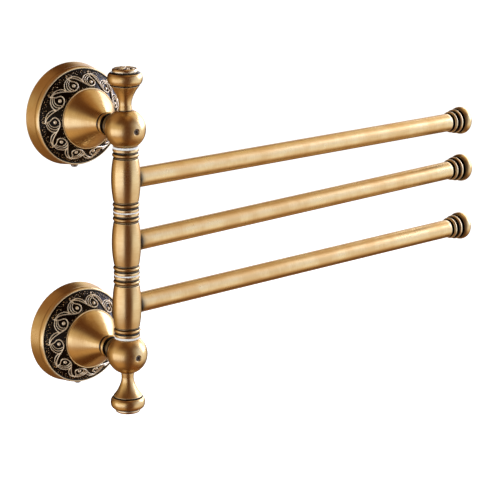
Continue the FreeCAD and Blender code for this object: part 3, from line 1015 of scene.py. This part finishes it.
    def cap(self) -> Surface:
        """Return the embossed cap: eight swirling leaves round a boss, cut down from a flat crown.

        A leaf's rib follows the angle where eight times the angle plus a swirl that grows with the radius is
        whole. The relief is the root of 1 minus the distance to the rib over half the leaf's width, squared.

        Returns:
            The cap.
        """
        crown = self.cap_height
        button = Profile((0, -4.0, 0), (2.0, -4.0), (2.0, 0), (6.7, 0), (6.7, 0.4, 0.05), (7.3, 0.4, 0.15))
        button.bow(6.9, 1.9, 0.2, 0.3).run((6.5, 2.12, 0.2)).sweep([(4.968, crown)], 0, crown, 0)
        axis = self.finial_axis(self.finial_length)
        cap = turned(self.side.dressed("finial_cap"), button, axis, 224, 0.11)
        radius, height = cap.section[:, :1], cap.section[:, 1:]
        angle = spaced_angles(cap.rows.shape[1])
        top = (height > 2.05) & (radius < 6.45)
        away = np.abs((self.leaves * angle / FULL_TURN + self.swirl * radius) % 1.0 - 0.5)
        rib = away * np.maximum(FULL_TURN * radius / self.leaves, 0.1)
        lobe = dome(away / 0.40) * smooth_step(radius, 1.2, 1.9) * (1 - smooth_step(radius, 5.5, 6.3))
        vein = 0.35 * hill(rib, 0.0, 0.22) * smooth_step(radius, 1.6, 2.2)
        relief = np.maximum(np.clip(lobe - vein, 0, 1), dome(radius / 1.15))
        sunk = np.where(top, (1 - relief) * self.carving_depth, 0.0)
        cap.rows = axis.place(around(radius, angle, height - sunk))
        cap.attributes["hollow"] = np.where(top, 1 - smooth_step(relief, 0.25, 0.75), 0.0)
        cap.attributes["edge"] = np.where(top, smooth_step(relief, 0.6, 0.95), cap.attributes["edge"])
        return cap

    def finial_axis(self, rise: float) -> Axis:
        """Return the pin's axis at a height above the finial's foot, upside down on the lower post."""
        foot = BALL_HEIGHT + self.finial_flat
        return Axis.on_pin(self.side.value * (foot + rise), self.side.value)

    def build(self, finishes: Finishes) -> None:
        """Build the post's pieces and hand them to the frame."""
        border = self.border.surface(self.side.dressed("scroll_border"), Axis.off_wall(self.height))
        finishes.settle(self.rosette())
        finishes.settle(border, carved=True, stands=False)
        finishes.settle(self.bell())
        finishes.settle(self.ball())
        finishes.settle(self.grub_screw(), slot=Slot.SCREW)
        finishes.settle(self.finial())
        finishes.settle(self.cap(), carved=True)


@dataclass
class Column:
    """The nylon washers between the sleeves and balls. Sizes in mm."""

    half_height: float = 55.1
    bore: float = 3.1
    thin_radius: float = 7.2
    thin: float = 0.8
    end_radius: float = 7.3
    thick: float = 1.2

    def build(self, finishes: Finishes) -> None:
        """Build the four washers, flat rings with softened edges, and hand them to the frame."""
        for side in Side:
            for piece, radius, thickness, middle in (
                ("thin_washer", self.thin_radius, self.thin, SLEEVE_PITCH / 2),
                ("end_washer", self.end_radius, self.thick, self.half_height + self.thick / 2),
            ):
                low = side.value * middle - thickness / 2
                high = low + thickness
                ring = Profile((self.bore, low), (radius, low), (radius, high), (self.bore, high))
                washer = turned(side.dressed(piece), ring, Axis.on_pin(0), 96, 0.4)
                finishes.settle(washer, slot=Slot.NYLON)


@dataclass
class SwingArm:
    """One arm: its sleeve on the pin, the tube and the turned end cap.

    Sizes are in mm, the knob's end and the two rings' bright crests from the tube's end.
    """

    arm: Arm
    sleeve_half: float = 18.1
    sleeve_bore: float = 3.05
    sleeve_ring: float = 7.45
    sleeve_groove: float = 6.9
    sleeve_belly: float = 7.25
    tube_radius: float = 5.75
    tube_bore: float = 4.75
    tube_start: float = 6.6
    sleeve_face: float = 8.2
    reach: float = 270.4
    cap_plug: float = 4.7
    cap_neck: float = 5.4
    flange: float = 7.6
    knob: float = 6.4
    knob_end: float = 19.2
    crests: tuple[float, float] = (3.0, 6.9)
    crest_width: float = 0.65

    @property
    def height(self) -> float:
        """Return the height of the arm's sleeve."""
        return self.arm.value[0] * SLEEVE_PITCH

    def sleeve(self) -> Surface:
        """Return the sleeve: end rings, grooves and beads above and below a swelling body."""
        half, bore, belly = self.sleeve_half, self.sleeve_bore, self.sleeve_belly
        ring, groove = self.sleeve_ring, self.sleeve_groove
        sleeve = Profile((bore, -half), (ring, -half, 0.4), (ring, 1.6 - half, 0.35), (groove, 1.6 - half))
        sleeve.run((groove, 2.6 - half)).bow(groove, 4.7 - half, 0.8, 0.12)
        sleeve.run((groove, 5.7 - half), (belly, 5.7 - half, 0.25)).bow(belly, half - 5.7, 1.15, 0.25, 40)
        sleeve.run((groove, half - 5.7), (groove, half - 4.7)).bow(groove, half - 2.6, 0.8, 0.12)
        sleeve.run((groove, half - 1.6), (ring, half - 1.6, 0.35), (ring, half, 0.4), (bore, half))
        return turned(self.arm.dressed("sleeve"), sleeve, Axis.on_pin(self.height), 112, 0.25, 1.2, 0.7)

    def tube(self) -> Surface:
        """Return the tube, open inside, with painted shade where it enters the sleeve."""
        radius, bore, start, end = self.tube_radius, self.tube_bore, self.tube_start, self.reach
        pipe = Profile((bore, start), (radius, start, 0.05), (radius, end, 0.3), (bore, end))
        tube = turned(self.arm.dressed("arm_tube"), pipe, self.axis(), 96, 2.0)
        away = np.maximum(tube.section[:, 1] - self.sleeve_face, 0.0)
        # Painted shadow: a dark line at the sleeve's face, and a fainter painted shade fading over about 5 mm
        # along the tube.
        seam_shadow, fading_shade = 0.3 * np.exp(-away / 0.3), 0.2 * np.exp(-away / 5.0)
        return tube.paint_shade(seam_shadow + fading_shade)

    def end_cap(self) -> Surface:
        """Return the end cap: neck, two rings that widen outwards, flange and low knob."""
        end, top = self.reach, self.reach + self.knob_end
        plug, neck, flange, knob = self.cap_plug, self.cap_neck, self.flange, self.knob
        cap = Profile((0, end - 10, 0), (plug, end - 10), (plug, end, 0.05), (5.0, end, 0.05))
        cap.run((5.0, end + 1.8, 0.1), (neck, end + 1.8, 0.1)).bow(neck, end + 4.2, 1.4)
        cap.run((neck, end + 5.7, 0.1)).bow(neck, end + 8.1, 2.3)
        cap.run((neck, end + 9.6, 0.1), (flange, end + 9.6, 0.3)).bow(flange, end + 15.8, 1.2, 0.3, 28)
        cap.run((knob, end + 15.8, 0.4)).sweep([(knob, end + 18.52), (0.6 * knob, top)], 0, top, 0)
        surface = turned(self.arm.dressed("arm_end_cap"), cap, self.axis(), 112, 0.25, 2.4, 1.0)
        height = surface.section[:, 1:] - end
        crests = sum(hill(height, crest, self.crest_width) for crest in self.crests)
        surface.attributes["edge"] = np.maximum(surface.attributes["edge"], crests)
        surface.attributes["hollow"] = surface.attributes["hollow"] * (1 - crests)
        # Painted shade in the corner at the flange's root and across the flange's face next to it.
        flange_root_shade = 0.32 * hill(height, 9.9, 1.9)
        return surface.paint_shade(flange_root_shade)

    def axis(self) -> Axis:
        """Return the arm's axis."""
        return Axis.of_arm(self.arm, self.height)

    def build(self, finishes: Finishes) -> None:
        """Build the arm's pieces and hand them to the frame."""
        for surface in (self.sleeve(), self.tube(), self.end_cap()):
            finishes.settle(surface, f"{self.arm.prefix}_arm")


def dress_kept_nodes(nodes: dict[str, bpy.types.Object], record: dict, finishes: Finishes) -> None:
    """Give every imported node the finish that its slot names, whether or not a new piece stands for it.

    Args:
        nodes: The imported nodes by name.
        record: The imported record.
        finishes: The bar's finishes.
    """
    for part in record["subparts"]:
        mesh = nodes[part["node"]].data
        mesh.materials.clear()
        mesh.materials.append(finishes.by_slot[Slot(part["material_slot"])])
    LOG.info("%d packed nodes dressed", len(record["subparts"]))


def seen(tree: Tree) -> bpy.types.Node:
    """Add nodes that give 1 to a ray that looks, is mirrored or passes through, and 0 to any other.

    Args:
        tree: The node tree.

    Returns:
        The node that gives the answer.
    """
    path = add_node(tree, "LightPath").outputs
    found = add_node(tree, "Math", {0: path["Is Camera Ray"], 1: path["Is Glossy Ray"]}, operation="MAXIMUM")
    return add_node(tree, "Math", {0: found, 1: path["Is Transmission Ray"]}, operation="MAXIMUM")


@dataclass(frozen=True)
class SoftBox:
    """A lamp's soft box: where it hangs, half its width and height in degrees, and its radiance and tint."""

    name: str
    azimuth: float
    elevation: float
    distance: float
    half_width: float
    half_height: float
    radiance: float
    tint: Triple = (0.98, 1.0, 1.1)

    def build(self, target: Vector) -> None:
        """Hang the lamp facing a target: power = pi radiance area, each side = 2 distance tan(half angle).

        Args:
            target: Where it faces.
        """
        data = bpy.data.lights.new(self.name, "AREA")
        data.shape = "RECTANGLE"
        halves = (self.half_width, self.half_height)
        width, height = (2 * self.distance * math.tan(math.radians(half)) for half in halves)
        data.size, data.size_y = width, height
        data.color = self.tint
        data.energy = self.radiance * math.pi * width * height
        away = Vector((bearing(self.azimuth, self.elevation) * self.distance).tolist())
        lamp = bpy.data.objects.new(self.name, data)
        facing = away.to_track_quat("Z", "Y").to_matrix().to_4x4()
        lamp.matrix_world = Matrix.Translation(target + away) @ facing
        lamp.visible_camera = False
        bpy.context.scene.collection.objects.link(lamp)


@dataclass(frozen=True)
class Glow:
    """A soft-edged patch of the room that the metal mirrors, in degrees, with its light."""

    azimuth: float
    elevation: float
    half_width: float
    half_height: float
    soft: float
    light: Triple

    def share(self, azimuth: Array, elevation: Array) -> Array:
        """Return how much of each direction the patch fills: a soft window round, times a soft window up.

        Args:
            azimuth: Directions' azimuths in degrees.
            elevation: Directions' elevations in degrees.

        Returns:
            Shares from 0 to 1.
        """
        turned_away = np.abs((azimuth - self.azimuth + 180) % 360 - 180)
        raised_away = np.abs(elevation - self.elevation)
        half = self.soft / 2
        window = smooth_step(self.half_width - turned_away, -half, half)
        return window * smooth_step(self.half_height - raised_away, -half, half)


@dataclass
class Room:
    """The dim warm room, seen only in the metal: each patch of light is laid over the ones before it."""

    radius: float = 4.0
    dim: Triple = (0.10, 0.033, 0.010)
    patches: tuple[Glow, ...] = (
        Glow(-140, 45, 42, 20, 20, (0.36, 0.20, 0.09)),
        Glow(170, -45, 42, 18, 20, (0.34, 0.18, 0.07)),
        Glow(60, 80, 80, 22, 20, (0.44, 0.23, 0.08)),
        Glow(60, -62, 60, 10, 20, (0.26, 0.10, 0.03)),
        Glow(-94, -46, 40, 17, 20, (0.66, 0.40, 0.17)),
        Glow(46, -30, 38, 14, 16, (0.68, 0.44, 0.22)),
        Glow(60, -13, 46, 16, 14, (1.05, 1.03, 1.04)),
        Glow(22, 18, 18, 20, 18, (0.42, 0.34, 0.28)),
        Glow(98, 50, 34, 15, 18, (0.82, 0.64, 0.38)),
        Glow(66, 40, 18, 10, 16, (0.88, 0.74, 0.62)),
        Glow(52, 12, 23, 16, 16, (0.90, 0.95, 1.16)),
        Glow(-92, 14, 44, 14, 22, (0.74, 0.57, 0.34)),
        Glow(132, 9, 20, 15, 14, (2.0, 2.0, 2.0)),
        Glow(128, -46, 18, 20, 16, (0.60, 0.38, 0.20)),
        Glow(-134, -10, 22, 18, 20, (0.55, 0.35, 0.14)),
    )

    def build(self) -> None:
        """Build the room: a ball of faces, each corner at radius times its bearing, with its light."""
        azimuth, elevation = np.meshgrid(np.arange(-180, 180, 4.0), np.linspace(-90, 90, 46))
        light = np.broadcast_to(np.array(self.dim), (*azimuth.shape, 3))
        for patch in self.patches:
            share = patch.share(azimuth, elevation)[..., None]
            light = light * (1 - share) + np.array(patch.light) * share
        ball = Surface("dim_room", bearing(azimuth, elevation) * self.radius, False)
        ball.attributes["light"] = light
        material, tree = new_material("dim_room")
        shown = add_node(tree, "Attribute", attribute_name="light").outputs["Color"]
        glow = add_node(tree, "Emission", {"Color": shown, "Strength": 1.0})
        add_node(tree, "OutputMaterial", {"Surface": glow})
        material.cycles.emission_sampling = "NONE"
        made = ball.build(material)
        for ray in ("camera", "diffuse", "transmission", "shadow"):
            setattr(made, f"visible_{ray}", False)


@dataclass
class Studio:
    """Camera, lamps, dim room, floor and backdrop. The camera's heading, pitch and roll are in degrees."""

    heading: float = 36.87
    pitch: float = 14.47
    roll: float = 0.27
    eye: Triple = (-0.6950, -1.10162, 0.31927)
    lens: float = 163.345
    target: Vector = field(default_factory=lambda: Vector((0.10, -0.04, 0.0)))
    lamps: tuple[SoftBox, ...] = (
        SoftBox("left_soft_box", -87, -11, 2.2, 34, 14, 1.22),
        SoftBox("right_soft_box", 96, 17, 2.6, 29, 18, 3.6, (0.96, 1.0, 1.3)),
    )
    room: Room = field(default_factory=Room)
    floor_height: float = -0.8
    floor_reach: float = 20.0
    floor_glow: float = 0.55
    sky_glow: float = 0.85

    def camera(self) -> None:
        """Make the camera from its heading, pitch, roll, place and lens."""
        heading, roll = math.radians(self.heading), math.radians(self.roll)
        forward = bearing(180 - self.heading, -self.pitch)
        level = np.array([math.cos(heading), -math.sin(heading), 0.0])
        above = np.cross(level, forward)
        right = math.cos(roll) * level + math.sin(roll) * above
        top = math.cos(roll) * above - math.sin(roll) * level
        data = bpy.data.cameras.new("camera")
        data.lens = self.lens
        camera = bpy.data.objects.new("camera", data)
        turn = Matrix(np.stack([right, top, -forward], axis=1).tolist()).to_4x4()
        camera.matrix_world = Matrix.Translation(self.eye) @ turn
        bpy.context.scene.collection.objects.link(camera)
        bpy.context.scene.camera = camera

    def floor(self) -> None:
        """Make the pale floor, a white card that keeps shadows. The dim room stands for it in the metal."""
        material, tree = new_material("white_floor_card")
        share = add_node(tree, "Math", {0: seen(tree), 1: self.floor_glow}, operation="MULTIPLY")
        card = add_node(tree, "BsdfDiffuse", {"Color": linear("#F4F4F2")})
        both = add_node(tree, "AddShader", {0: card, 1: add_node(tree, "Emission", {"Strength": share})})
        add_node(tree, "OutputMaterial", {"Surface": both})
        reach, height = self.floor_reach, self.floor_height
        corners = [(x * reach, y * reach, height) for x, y in ((-1, -1), (1, -1), (1, 1), (-1, 1))]
        mesh = bpy.data.meshes.new("floor")
        mesh.from_pydata(corners, [], [(0, 1, 2, 3)])
        floor = put_in_scene(mesh, material)
        floor.visible_glossy = False

    def backdrop(self) -> None:
        """Make the world white where it is seen or mirrored, and a plain grey light elsewhere."""
        world = bpy.data.worlds.new("studio")
        bpy.context.scene.world = world
        world.use_nodes = True
        tree = world.node_tree
        tree.nodes.clear()
        level = add_node(tree, "MapRange", {"Value": seen(tree), "To Min": self.sky_glow, "To Max": 1.0})
        sky = add_node(tree, "Background", {"Strength": level})
        add_node(tree, "OutputWorld", {"Surface": sky})

    def build(self) -> None:
        """Set up the whole studio."""
        self.camera()
        self.floor()
        self.backdrop()
        self.room.build()
        for lamp in self.lamps:
            lamp.build(self.target)
        bpy.context.scene.view_settings.view_transform = "Standard"


def main() -> None:
    """Load the frame, build every sub-assembly in order and set up the studio."""
    logging.basicConfig(level=logging.INFO, format="%(name)s %(message)s")
    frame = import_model()
    finishes = Finishes()
    dress_kept_nodes(frame["nodes"], frame["record"], finishes)
    for side in Side:
        WallPost(side).build(finishes)
    Column().build(finishes)
    for arm in Arm:
        SwingArm(arm).build(finishes)
    Studio().build()


if __name__ == "__main__":
    main()
